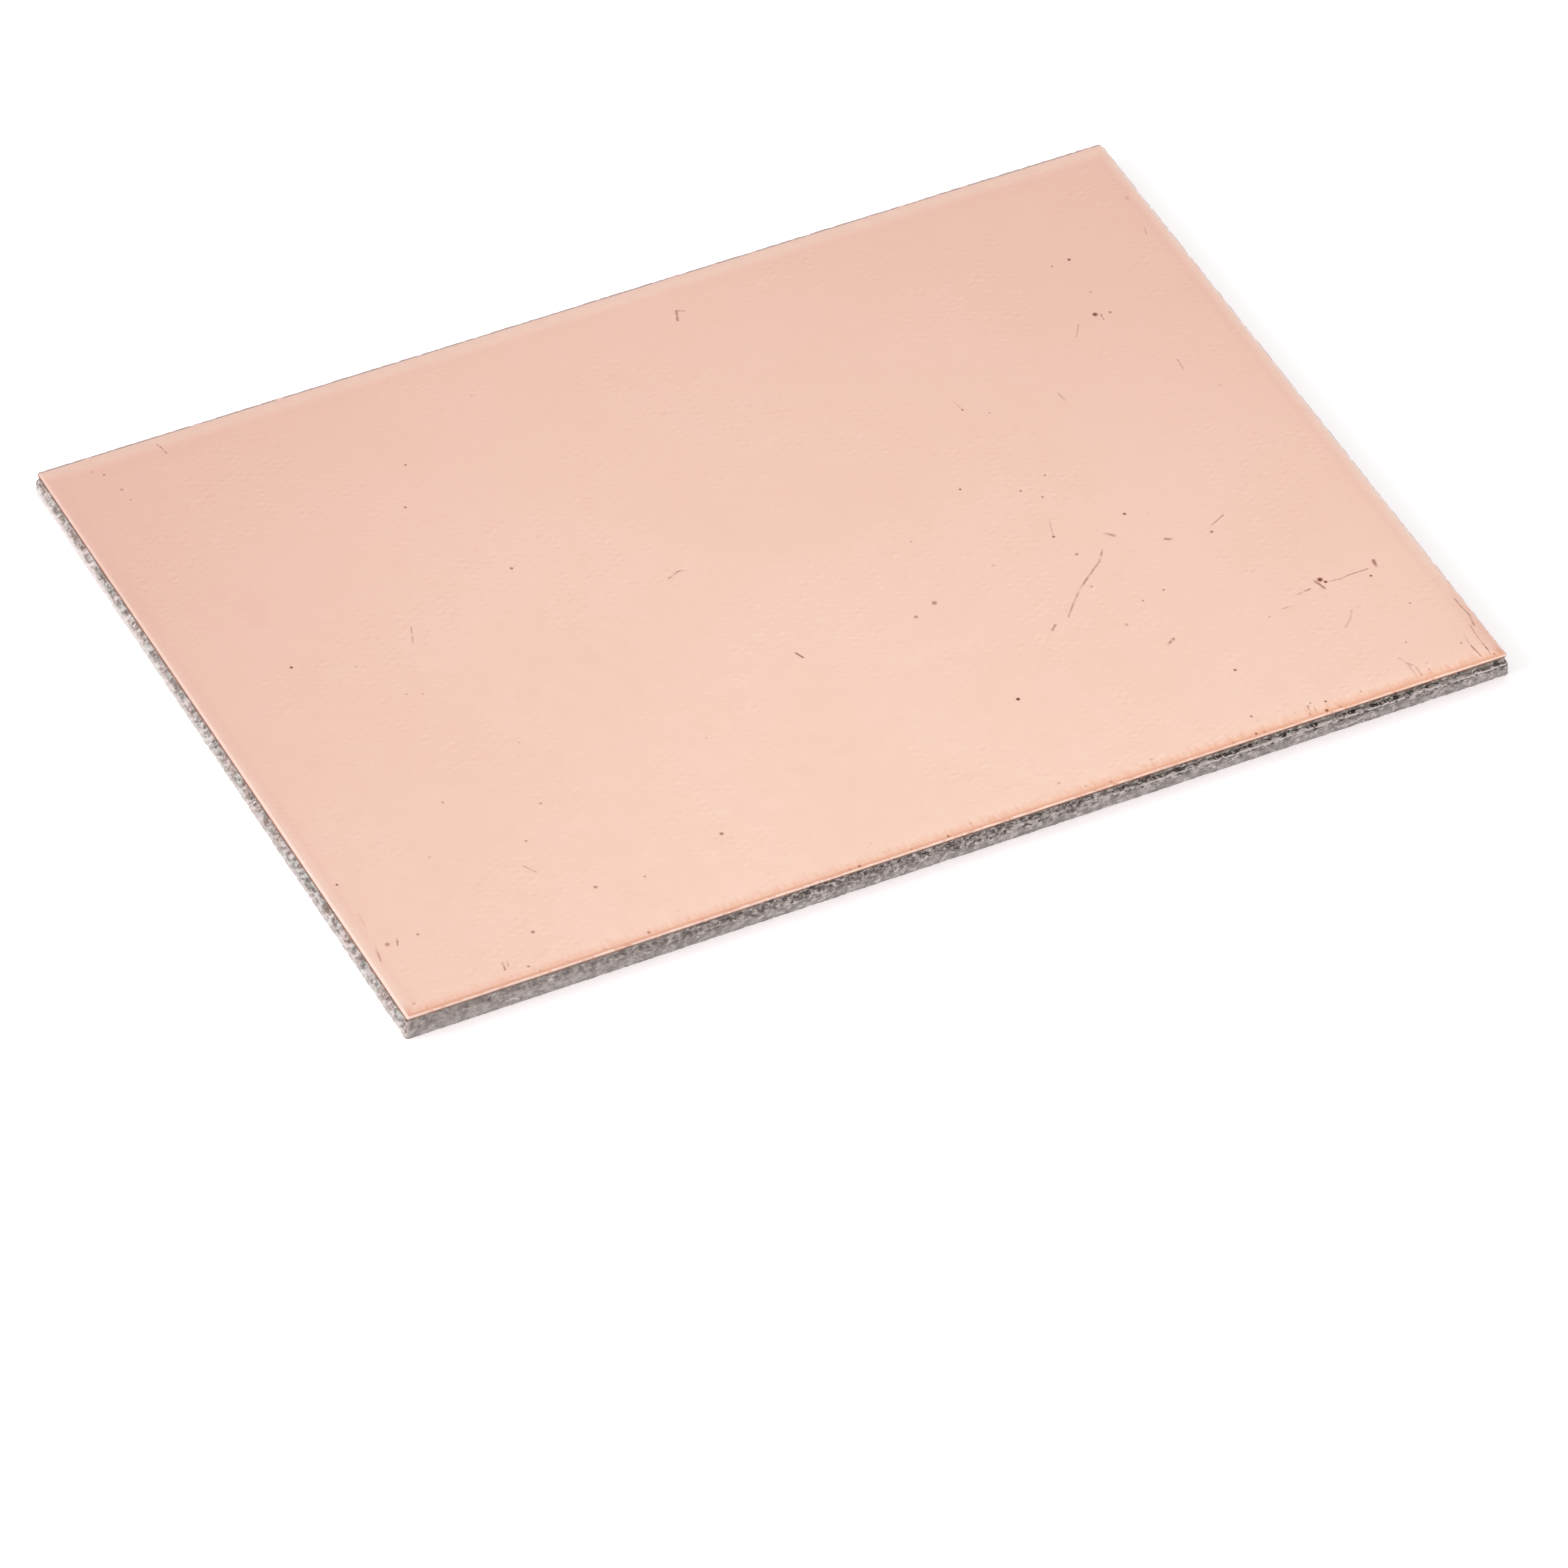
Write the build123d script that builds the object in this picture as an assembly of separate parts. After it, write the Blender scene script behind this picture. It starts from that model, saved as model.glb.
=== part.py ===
from build123d import *
import math
import os

# A single-sided copper clad board: a pressed glass-fibre laminate with one copper foil
# bonded over its whole upper face, guillotined to size. Millimetres.
# Origin at the middle of the underside, +X along the long sides, +Z up, copper on top.

# The board as it is sold. Its length and width are those of the underside.
board_length = 70.0
board_width = 50.0
board_thickness = 1.5
foil_thickness = 0.035

# The cut: the blade comes down through the copper. It draws the foil and the resin below
# it down into a rolled rim, tears a band of the laminate under the rim, and then leaves a
# cleaner, sloping land that stands out further than the rim does.
rim_reach = 1.1
rim_drop = 0.09
land_height = 0.84
land_slope = 2.5
shoulder_height = 0.07

# How far the foil's rim stands in from the underside's outline on each side, and how far
# the torn band is sunk in under the rim.
rim_inset_front = 0.13
rim_inset_right = 0.14
rim_inset_back = 0.09
rim_inset_left = 0.11
torn_depth = 0.03

# Outside corners, seen from above.
corner_radius = 0.22

front, right, back, left = "front", "right", "back", "left"
rim_inset = {
    front: rim_inset_front,
    right: rim_inset_right,
    back: rim_inset_back,
    left: rim_inset_left,
}
no_inset = {side: 0.0 for side in rim_inset}
torn_inset = {side: inset + torn_depth for side, inset in rim_inset.items()}

core_thickness = board_thickness - foil_thickness
land_draft = land_height * math.tan(math.radians(land_slope))

# The rim bends down along an arc that leaves the flat top without a kink. The foil and
# the laminate share its centre, so the foil keeps its thickness round the bend.
foil_bend = (rim_reach**2 + rim_drop**2) / (2 * rim_drop)
core_bend = foil_bend - foil_thickness
bend_centre_height = board_thickness - foil_bend


def sides_at(inset):
    """The four straight sides of an outline that stands in from the underside's."""
    return {
        left: -board_length / 2 + inset[left],
        right: board_length / 2 - inset[right],
        front: -board_width / 2 + inset[front],
        back: board_width / 2 - inset[back],
    }


def outline(inset, height, corner):
    """A rounded rectangle at a height, seen from above."""
    side = sides_at(inset)
    length = side[right] - side[left]
    width = side[back] - side[front]
    middle = ((side[left] + side[right]) / 2, (side[front] + side[back]) / 2)
    return Pos(*middle, height) * RectangleRounded(length, width, corner)


def rolled_section(low_rim, high_rim, bend):
    """One cross-section of the plate from rim to rim, with both ends of its top rolled
    down, drawn as (distance across, height)."""
    top = bend_centre_height + bend
    rim_height = bend_centre_height + math.sqrt(bend**2 - rim_reach**2)
    half_way = rim_reach / 2
    half_way_height = bend_centre_height + math.sqrt(bend**2 - half_way**2)
    low_flat = low_rim + rim_reach
    high_flat = high_rim - rim_reach
    return [
        Line((low_rim, 0), (low_rim, rim_height)),
        ThreePointArc((low_rim, rim_height), (low_flat - half_way, half_way_height), (low_flat, top)),
        Line((low_flat, top), (high_flat, top)),
        ThreePointArc((high_flat, top), (high_flat + half_way, half_way_height), (high_rim, rim_height)),
        Line((high_rim, rim_height), (high_rim, 0)),
        Line((high_rim, 0), (low_rim, 0)),
    ]


def rolled_prism(plane, low_rim, high_rim, bend):
    """A rolled section carried right across the board in both directions."""
    section = plane * make_face(rolled_section(low_rim, high_rim, bend))
    return extrude(section, amount=max(board_length, board_width), both=True)


def rolled_envelope(bend):
    """Everything below a top face that rolls down towards all four sides of the foil."""
    side = sides_at(rim_inset)
    along = rolled_prism(Plane.XZ, side[left], side[right], bend)
    across = rolled_prism(Plane.YZ, side[front], side[back], bend)
    return along & across


def land():
    """The lower part of the cut: a clean land that leans in towards its shoulder."""
    return extrude(outline(no_inset, 0, corner_radius), amount=land_height, taper=land_slope)


def shoulder():
    """The sloping step from the land's top edge in to the torn band."""
    land_top = {side: land_draft for side in rim_inset}
    foot = outline(land_top, land_height, corner_radius - land_draft)
    head = outline(torn_inset, land_height + shoulder_height, corner_radius)
    return loft([foot, head])


def torn_band():
    """The upper part of the cut, sunk in under the rolled rim."""
    start = land_height + shoulder_height
    band = extrude(outline(torn_inset, start, corner_radius), amount=core_thickness - start)
    return band & rolled_envelope(core_bend)


def base_laminate():
    """The insulating board, pressed and cut as one piece."""
    return (land() + shoulder() + torn_band()).clean()


def copper_foil():
    """The foil over the whole upper face, down to its cut edge at the rim."""
    blank = extrude(outline(rim_inset, 0, corner_radius), amount=board_thickness)
    return (blank & rolled_envelope(foil_bend)) - rolled_envelope(core_bend)


parts = {"base_laminate": base_laminate(), "copper_foil": copper_foil()}

os.makedirs("parts", exist_ok=True)
for name, shape in parts.items():
    export_step(shape, f"parts/{name}.step")
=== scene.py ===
import math

import bmesh
import bpy
from mathutils import Matrix, Vector


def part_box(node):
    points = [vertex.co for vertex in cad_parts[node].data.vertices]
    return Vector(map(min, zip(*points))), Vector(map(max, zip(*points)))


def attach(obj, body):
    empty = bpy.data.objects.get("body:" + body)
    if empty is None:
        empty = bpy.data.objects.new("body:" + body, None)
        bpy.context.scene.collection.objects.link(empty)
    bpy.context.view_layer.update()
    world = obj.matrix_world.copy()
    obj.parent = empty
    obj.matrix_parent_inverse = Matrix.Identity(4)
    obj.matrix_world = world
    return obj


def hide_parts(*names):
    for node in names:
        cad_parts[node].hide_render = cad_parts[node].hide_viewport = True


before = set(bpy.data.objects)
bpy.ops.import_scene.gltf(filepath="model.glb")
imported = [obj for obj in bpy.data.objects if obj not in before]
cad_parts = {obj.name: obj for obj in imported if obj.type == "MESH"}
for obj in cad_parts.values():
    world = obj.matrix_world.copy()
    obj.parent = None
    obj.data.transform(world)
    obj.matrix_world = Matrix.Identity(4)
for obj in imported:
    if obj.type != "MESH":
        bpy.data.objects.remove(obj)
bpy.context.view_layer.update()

# Pieces are modelled in millimetres, at their place in the frame, and shrunk to metres when
# they are done.
MM = 0.001
TINY = 1e-4
LEVEL_NORMAL = 0.98

# Outlines from the frame: the laminate's underside, and the foil's rim.
core_low, core_high = (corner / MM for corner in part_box("base_laminate"))
foil_low, foil_high = (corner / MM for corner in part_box("copper_foil"))
foil_middle = (foil_low + foil_high) / 2
rim_height = foil_low.z

# The cut, as the guillotine leaves it.
FOIL_THICKNESS = 0.035
RIM_REACH = 1.1
LEDGE_HEIGHT = 0.84
SHOULDER_HEIGHT = 0.07
LAND_LEAN = math.radians(2.5)
TORN_DEPTH = 0.03
CORNER_RADIUS = 0.22
CORNER_STEPS = 4

# How finely the cut edge is divided along the board's length, its width and its height. Only
# edges longer than the limit are divided, which leaves the rounded corners as they are.
LENGTH_CUTS = (31, 24)
WIDTH_CUTS = (31, 17)
LONG_EDGE = 1
LAND_ROWS = 8
SHOULDER_ROWS = 1
TORN_ROWS = 9

# The plain grids that close the flat faces: their cells, how far in from the face's outline
# they end, and how far they are lifted while they are joined to it.
FLAT_CELLS = (50, 36)
FLAT_INSET = 1.2
GRID_LIFT = 5

# How deep the relief of the cut and of the foil's rim goes, and how far in it starts.
TORN_RELIEF = 0.02
LONG_PIT_DEPTH = 0.12
SMALL_PIT_DEPTH = 0.07
STRAND_DEPTH = 0.04
GRAIN_DEPTH = 0.03
NICK_DEPTH = 0.04
DRAG_DEPTH = 0.05
RELIEF_REACH = 1

# The glass weave as bump, on the copper and on the underside, and the grain of the cut.
PRINTED_WEAVE = 0.0025
PRESSED_WEAVE = 0.004
CUT_GRAIN = 0.04

# Smooth shading stops at edges sharper than these.
CUT_SMOOTHING = math.radians(55)
COPPER_SMOOTHING = math.radians(40)

# Places along the length where the look of the cut changes.
TEAR_STARTS = (0, 21)
RIGHT_CORNER = (32.2, 34.2)
ROUGH_STARTS = (-30, -8)

# How far in from the outline the face of a side still lies.
SIDE_FACE = (0.5, 0.4)

# The roll of the foil towards its rim: how far out each ring of the mesh lies, and how much
# lower than the plain arc, where the blade has dragged the last of the foil down.
ROLL = (
    (0.25, 0.0),
    (0.45, 0.0),
    (0.6, 0.0),
    (0.72, 0.0),
    (0.82, 0.0),
    (0.9, 0.0),
    (0.96, 0.001),
    (1.0, 0.003),
    (1.04, 0.007),
    (1.07, 0.012),
    (1.09, 0.018),
    (1.1, 0.024),
)


def edit(piece):
    """Opens a piece for editing, with nothing else selected."""
    bpy.ops.object.select_all(action="DESELECT")
    bpy.context.view_layer.objects.active = piece
    piece.select_set(True)
    bpy.ops.object.mode_set(mode="EDIT")


def pick(piece, kind, test):
    """Selects the open piece's vertices, edges or faces that pass a test, and nothing else."""
    bpy.ops.mesh.select_mode(type=kind)
    bpy.ops.mesh.select_all(action="DESELECT")
    mesh = bmesh.from_edit_mesh(piece.data)
    items = {"VERT": mesh.verts, "EDGE": mesh.edges, "FACE": mesh.faces}[kind]
    for item in items:
        if test(item):
            item.select_set(True)
    mesh.select_flush_mode()
    bmesh.update_edit_mesh(piece.data)


def is_level(edge):
    """Whether an edge lies level."""
    return abs(edge.verts[0].co.z - edge.verts[1].co.z) < TINY


def is_flat(face):
    """Whether a face looks straight up or down."""
    return abs(face.normal.z) > LEVEL_NORMAL


def is_at(edge, height):
    """Whether an edge lies at a height."""
    return all(abs(vertex.co.z - height) < TINY for vertex in edge.verts)


def divide_sides(piece):
    """Divides the long level edges, so that the cut can carry its relief."""
    for axis, rounds in enumerate((LENGTH_CUTS, WIDTH_CUTS)):
        for cuts in rounds:
            pick(
                piece,
                "EDGE",
                lambda edge: is_level(edge)
                and abs(edge.verts[0].co[axis] - edge.verts[1].co[axis]) > LONG_EDGE,
            )
            bpy.ops.mesh.subdivide(number_cuts=cuts)


def close_level(piece, height, span):
    """Closes the open loop at a height with a plain grid of cells, a little smaller than the
    loop, and a band between the two. The grid is bridged while it is lifted, because a band
    between two loops at one height can come out twisted, and is then let down."""
    lifted = height + GRID_LIFT
    bpy.ops.mesh.select_all(action="DESELECT")
    bpy.ops.mesh.primitive_grid_add(
        x_subdivisions=FLAT_CELLS[0],
        y_subdivisions=FLAT_CELLS[1],
        size=1,
        location=(foil_middle.x, foil_middle.y, lifted),
    )
    bpy.ops.transform.resize(
        value=(span.x - 2 * FLAT_INSET, span.y - 2 * FLAT_INSET, 1),
        center_override=(foil_middle.x, foil_middle.y, lifted),
    )
    pick(
        piece,
        "EDGE",
        lambda edge: edge.is_boundary and (is_at(edge, height) or is_at(edge, lifted)),
    )
    bpy.ops.mesh.bridge_edge_loops()
    pick(piece, "VERT", lambda vertex: abs(vertex.co.z - lifted) < TINY)
    bpy.ops.transform.translate(value=(0, 0, -GRID_LIFT))


def apply_relief(piece, tree):
    """Moves the piece's vertices by a node tree, for good."""
    modifier = piece.modifiers.new(tree.name, "NODES")
    modifier.node_group = tree
    bpy.ops.object.modifier_apply(modifier=modifier.name)


def finish_piece(piece, smooth_angle):
    """Shades a piece, shrinks it from millimetres to metres and ties it to the board."""
    bpy.ops.object.shade_smooth_by_angle(angle=smooth_angle)
    piece.data.transform(Matrix.Scale(MM, 4))
    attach(piece, "root")


def cut_laminate():
    """The laminate: a clean leaning land, a wandering ledge and a torn band above it."""
    middle = (core_low + core_high) / 2
    size = core_high - core_low
    bpy.ops.object.select_all(action="DESELECT")
    bpy.ops.mesh.primitive_cube_add(
        size=1,
        location=(middle.x, middle.y, rim_height / 2),
        scale=(size.x, size.y, rim_height),
    )
    piece = bpy.context.object
    piece.name = "cut_laminate"
    bpy.ops.object.transform_apply(location=True, rotation=True, scale=True)

    edit(piece)
    pick(piece, "EDGE", lambda edge: not is_level(edge))
    bpy.ops.mesh.bevel(offset=CORNER_RADIUS, segments=CORNER_STEPS, affect="EDGES")
    pick(piece, "FACE", is_flat)
    bpy.ops.mesh.delete(type="ONLY_FACE")
    shoulder_top = LEDGE_HEIGHT + SHOULDER_HEIGHT
    for height in (LEDGE_HEIGHT, shoulder_top):
        bpy.ops.mesh.select_all(action="SELECT")
        bpy.ops.mesh.bisect(plane_co=(0, 0, height), plane_no=(0, 0, 1), threshold=TINY)

    # Each side leans in up to the ledge and steps in above it.
    for axis in (0, 1):
        for sign, core, foil in ((-1, core_low, foil_low), (1, core_high, foil_high)):
            side_start = abs(core[axis]) - CORNER_RADIUS - TINY
            rim_inset = abs(core[axis] - foil[axis])
            for low, high, inset in (
                (LEDGE_HEIGHT, LEDGE_HEIGHT, LEDGE_HEIGHT * math.tan(LAND_LEAN)),
                (shoulder_top, rim_height, rim_inset + TORN_DEPTH),
            ):
                pick(
                    piece,
                    "VERT",
                    lambda vertex: low - TINY < vertex.co.z < high + TINY
                    and sign * vertex.co[axis] > side_start,
                )
                move = Vector((0, 0, 0))
                move[axis] = -sign * inset
                bpy.ops.transform.translate(value=move)

    for low, high, cuts in (
        (0, LEDGE_HEIGHT, LAND_ROWS),
        (LEDGE_HEIGHT, shoulder_top, SHOULDER_ROWS),
        (shoulder_top, rim_height, TORN_ROWS),
    ):
        pick(
            piece,
            "EDGE",
            lambda edge: not is_level(edge)
            and all(low - TINY < vertex.co.z < high + TINY for vertex in edge.verts),
        )
        bpy.ops.mesh.subdivide(number_cuts=cuts)
    divide_sides(piece)

    # The top follows the underside of the rolled foil, and both ends are closed.
    pick(piece, "EDGE", lambda edge: is_at(edge, rim_height))
    bpy.ops.mesh.extrude_region_move(
        TRANSFORM_OT_translate={"value": (0, 0, core_high.z - rim_height)}
    )
    foil_size = foil_high - foil_low
    bpy.ops.transform.resize(
        value=(
            (foil_size.x - 2 * RIM_REACH) / (foil_size.x - 2 * TORN_DEPTH),
            (foil_size.y - 2 * RIM_REACH) / (foil_size.y - 2 * TORN_DEPTH),
            1,
        ),
        center_override=foil_middle,
    )
    close_level(piece, core_high.z, foil_size - Vector((2 * RIM_REACH, 2 * RIM_REACH, 0)))
    close_level(piece, 0, size)
    bpy.ops.mesh.select_all(action="SELECT")
    bpy.ops.mesh.normals_make_consistent(inside=False)
    bpy.ops.object.mode_set(mode="OBJECT")
    apply_relief(piece, cut_relief())

    piece.data.materials.append(cut_edge_material())
    piece.data.materials.append(pressed_face_material())
    edit(piece)
    pick(piece, "FACE", is_flat)
    piece.active_material_index = 1
    bpy.ops.object.material_slot_assign()
    bpy.ops.object.mode_set(mode="OBJECT")
    finish_piece(piece, CUT_SMOOTHING)
    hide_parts("base_laminate")


def rolled_foil():
    """The copper: a flat face whose border rolls down to a dragged, uneven rim."""
    foil_size = foil_high - foil_low
    flat = Vector((foil_size.x - 2 * RIM_REACH, foil_size.y - 2 * RIM_REACH))
    rim_drop = foil_high.z - rim_height - FOIL_THICKNESS
    bend = (RIM_REACH**2 + rim_drop**2) / (2 * rim_drop)
    bpy.ops.object.select_all(action="DESELECT")
    bpy.ops.mesh.primitive_plane_add(size=1, location=(foil_middle.x, foil_middle.y, foil_high.z))
    piece = bpy.context.object
    piece.name = "rolled_foil"
    bpy.ops.transform.resize(value=(flat.x, flat.y, 1))
    bpy.ops.object.transform_apply(location=True, rotation=True, scale=True)

    edit(piece)
    pick(piece, "FACE", lambda face: True)
    bpy.ops.mesh.delete(type="ONLY_FACE")
    pick(piece, "EDGE", lambda edge: True)
    now_out, now_down = 0.0, 0.0

    def next_ring(out, down):
        """Draws the outermost ring on, out from the flat face and down from its height."""
        nonlocal now_out, now_down
        bpy.ops.mesh.extrude_region_move(TRANSFORM_OT_translate={"value": (0, 0, now_down - down)})
        bpy.ops.transform.resize(
            value=(
                (flat.x + 2 * out) / (flat.x + 2 * now_out),
                (flat.y + 2 * out) / (flat.y + 2 * now_out),
                1,
            ),
            center_override=foil_middle,
        )
        now_out, now_down = out, down

    for out, drag in ROLL:
        next_ring(out, bend - math.sqrt(bend**2 - out**2) + drag)
    next_ring(RIM_REACH, foil_high.z - rim_height)
    next_ring(0.0, FOIL_THICKNESS)
    divide_sides(piece)
    close_level(piece, foil_high.z, flat)
    close_level(piece, foil_high.z - FOIL_THICKNESS, flat)
    bpy.ops.mesh.select_all(action="SELECT")
    bpy.ops.mesh.normals_make_consistent(inside=False)
    bpy.ops.object.mode_set(mode="OBJECT")
    apply_relief(piece, rim_relief())

    piece.data.materials.append(copper_material())
    finish_piece(piece, COPPER_SMOOTHING)
    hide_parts("copper_foil")


def node(tree, kind, inputs=None, **settings):
    """A node with its settings made, and each input either linked or given its value."""
    made = tree.nodes.new(kind)
    for setting, value in settings.items():
        setattr(made, setting, value)
    for socket, value in (inputs or {}).items():
        if isinstance(value, bpy.types.NodeSocket):
            tree.links.new(value, made.inputs[socket])
        else:
            made.inputs[socket].default_value = value
    return made


def maths(tree, operation, *values, clamp=False):
    """One step of arithmetic."""
    inputs = dict(enumerate(values))
    return node(tree, "ShaderNodeMath", inputs, operation=operation, use_clamp=clamp).outputs[0]


def times(tree, value, factor):
    """One value multiplied by another."""
    return maths(tree, "MULTIPLY", value, factor)


def times_plus(tree, value, factor, base):
    """A value multiplied by a factor, on top of a base."""
    return maths(tree, "MULTIPLY_ADD", value, factor, base)


def minus(tree, value, less):
    """One value less another."""
    return maths(tree, "SUBTRACT", value, less)


def larger(tree, value, other):
    """The larger of two values."""
    return maths(tree, "MAXIMUM", value, other)


def vector(tree, operation, *values):
    """One step of arithmetic on vectors that gives a vector."""
    made = node(tree, "ShaderNodeVectorMath", dict(enumerate(values)), operation=operation)
    return made.outputs["Vector"]


def vector_scale(tree, point, amount):
    """A vector made longer or shorter."""
    made = node(tree, "ShaderNodeVectorMath", {0: point, "Scale": amount}, operation="SCALE")
    return made.outputs["Vector"]


def distance(tree, point, other):
    """How far apart two points are."""
    made = node(tree, "ShaderNodeVectorMath", {0: point, 1: other}, operation="DISTANCE")
    return made.outputs["Value"]


def stretched(tree, point, stretch):
    """A point with its coordinates multiplied, to scale a pattern that is made from it."""
    return vector(tree, "MULTIPLY", point, stretch)


def fade(tree, value, start, end):
    """0 at the start value, 1 at the end value, and smooth between them."""
    made = node(
        tree,
        "ShaderNodeMapRange",
        {"Value": value, "From Min": start, "From Max": end},
        interpolation_type="SMOOTHSTEP",
        clamp=False,
    )
    return made.outputs[0]


def cloud(tree, point, scale, detail=2.0, roughness=0.5, distortion=0.0):
    """Soft noise from 0 to 1, with its features about 1/scale wide."""
    inputs = {"Vector": point, "Scale": scale, "Detail": detail}
    inputs.update({"Roughness": roughness, "Distortion": distortion})
    return node(tree, "ShaderNodeTexNoise", inputs).outputs[0]


def split(tree, point):
    """A point's three coordinates."""
    return node(tree, "ShaderNodeSeparateXYZ", {"Vector": point}).outputs


def new_group(name, kind, inputs, outputs):
    """An empty node group with named sockets, and its input and output nodes."""
    tree = bpy.data.node_groups.new(name, kind)
    for in_out, sockets in (("INPUT", inputs), ("OUTPUT", outputs)):
        for socket, (socket_type, default) in sockets.items():
            made = tree.interface.new_socket(socket, in_out=in_out, socket_type=socket_type)
            if default is not None:
                made.default_value = default
    return tree, tree.nodes.new("NodeGroupInput").outputs, tree.nodes.new("NodeGroupOutput").inputs


def relief_group(name):
    """A geometry tree, with the position of each vertex and its direction out of the board."""
    tree, given, result = new_group(
        name,
        "GeometryNodeTree",
        {"Geometry": ("NodeSocketGeometry", None)},
        {"Geometry": ("NodeSocketGeometry", None)},
    )
    point = tree.nodes.new("GeometryNodeInputPosition").outputs[0]
    flat_point = stretched(tree, point, (1, 1, 0))
    inner = Vector((core_high.x - RELIEF_REACH, core_high.y - RELIEF_REACH, 0))
    nearest = vector(tree, "MINIMUM", vector(tree, "MAXIMUM", flat_point, -inner), inner)
    outward = vector(tree, "NORMALIZE", vector(tree, "SUBTRACT", flat_point, nearest))
    return tree, given, result, point, outward


def cut_masks(tree, place):
    """Where the cut is torn, pitted and stranded, by a place on its plain shape. The relief
    and the material both use these, so that the colour follows the shape."""
    x, y, level = split(tree, place)
    below_rim = fade(tree, level, rim_height - 0.01, rim_height - 0.07)
    corner = fade(tree, x, *RIGHT_CORNER)
    tear = times(tree, fade(tree, x, *TEAR_STARTS), times_plus(tree, corner, -0.6, 1))

    # Towards the right the resin is torn out all along below the rim, and deepest in the
    # long pits that lie just above the ledge.
    pit_foot = LEDGE_HEIGHT + 0.005
    torn = times(tree, fade(tree, level, pit_foot, LEDGE_HEIGHT + 0.04), below_rim)
    torn = times(tree, torn, times_plus(tree, tear, 0.9, 0.1))
    long_pits = cloud(tree, stretched(tree, place, (0.6, 0.6, 1.2)), 1.6, detail=3, roughness=0.65)
    above_ledge = fade(tree, level, pit_foot, LEDGE_HEIGHT + 0.03)
    above_ledge = times(tree, above_ledge, fade(tree, level, 1.0, 0.92))
    long_pits = times(tree, fade(tree, long_pits, 0.39, 0.47), above_ledge)
    long_pits = times(tree, long_pits, tear)

    # Small pits all over the upper half, few and shallow at the left.
    small_pits = cloud(tree, stretched(tree, place, (1, 1, 1.5)), 2.6, roughness=0.6)
    spread = times(tree, fade(tree, level, 0.25, 0.7), below_rim)
    spread = times(tree, spread, times_plus(tree, fade(tree, x, -24, -8), 0.75, 0.25))
    small_pits = times(tree, fade(tree, small_pits, 0.54, 0.6), spread)

    # Strands of glass that climb towards the front and towards the right.
    along = minus(tree, x, y)
    lengthwise = times_plus(tree, level, 0.64, times(tree, along, 0.77))
    crosswise = times_plus(tree, level, 0.77, times(tree, along, -0.64))
    slant = node(
        tree,
        "ShaderNodeCombineXYZ",
        {"X": times(tree, lengthwise, 0.9), "Y": times(tree, crosswise, 3.8)},
    ).outputs[0]
    strand = cloud(tree, slant, 1.0, detail=3, roughness=0.65, distortion=0.4)
    return {
        "corner": corner,
        "torn": torn,
        "long_pits": long_pits,
        "small_pits": small_pits,
        "strand": strand,
    }


def cut_relief():
    """Relief of the cut edge: the ledge wanders, the band above it is torn into pits, more
    and more towards the right, and slanting strands of glass run across the whole cut."""
    tree, given, result, place, outward = relief_group("cut_relief")
    level = split(tree, place)["Z"]
    flat_place = stretched(tree, place, (1, 1, 0))
    masks = cut_masks(tree, place)

    # The ledge climbs and falls along the board, and the rows beside it go with it.
    wander = minus(tree, cloud(tree, flat_place, 0.45, detail=3, roughness=0.6), 0.5)
    ripple = minus(tree, cloud(tree, flat_place, 1.5, roughness=0.6), 0.5)
    wander = times_plus(tree, ripple, 0.35, times(tree, wander, 0.6))
    from_ledge = maths(tree, "ABSOLUTE", minus(tree, level, LEDGE_HEIGHT + 0.04))
    rise = times(tree, wander, fade(tree, from_ledge, 0.46, 0.0))

    grain = cloud(tree, stretched(tree, place, (1, 1, 1.5)), 3.5, roughness=0.6)
    on_cut = fade(tree, level, rim_height + 0.01, rim_height)
    depth = times(tree, masks["torn"], TORN_RELIEF)
    depth = times_plus(tree, masks["long_pits"], LONG_PIT_DEPTH, depth)
    depth = times_plus(tree, masks["small_pits"], SMALL_PIT_DEPTH, depth)
    depth = times_plus(tree, fade(tree, masks["strand"], 0.35, 0.65), STRAND_DEPTH, depth)
    depth = times_plus(tree, grain, GRAIN_DEPTH, depth)
    depth = times(tree, depth, on_cut)
    inward = vector_scale(tree, outward, times(tree, depth, -1))
    upward = node(tree, "ShaderNodeCombineXYZ", {"Z": rise}).outputs[0]
    moved = move_points(tree, given, inward, upward)

    # The material needs each point's height on the plain shape.
    kept = node(
        tree,
        "GeometryNodeStoreNamedAttribute",
        {"Geometry": moved, "Name": "level", "Value": level},
        data_type="FLOAT",
        domain="POINT",
    ).outputs[0]
    tree.links.new(kept, result[0])
    return tree


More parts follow.
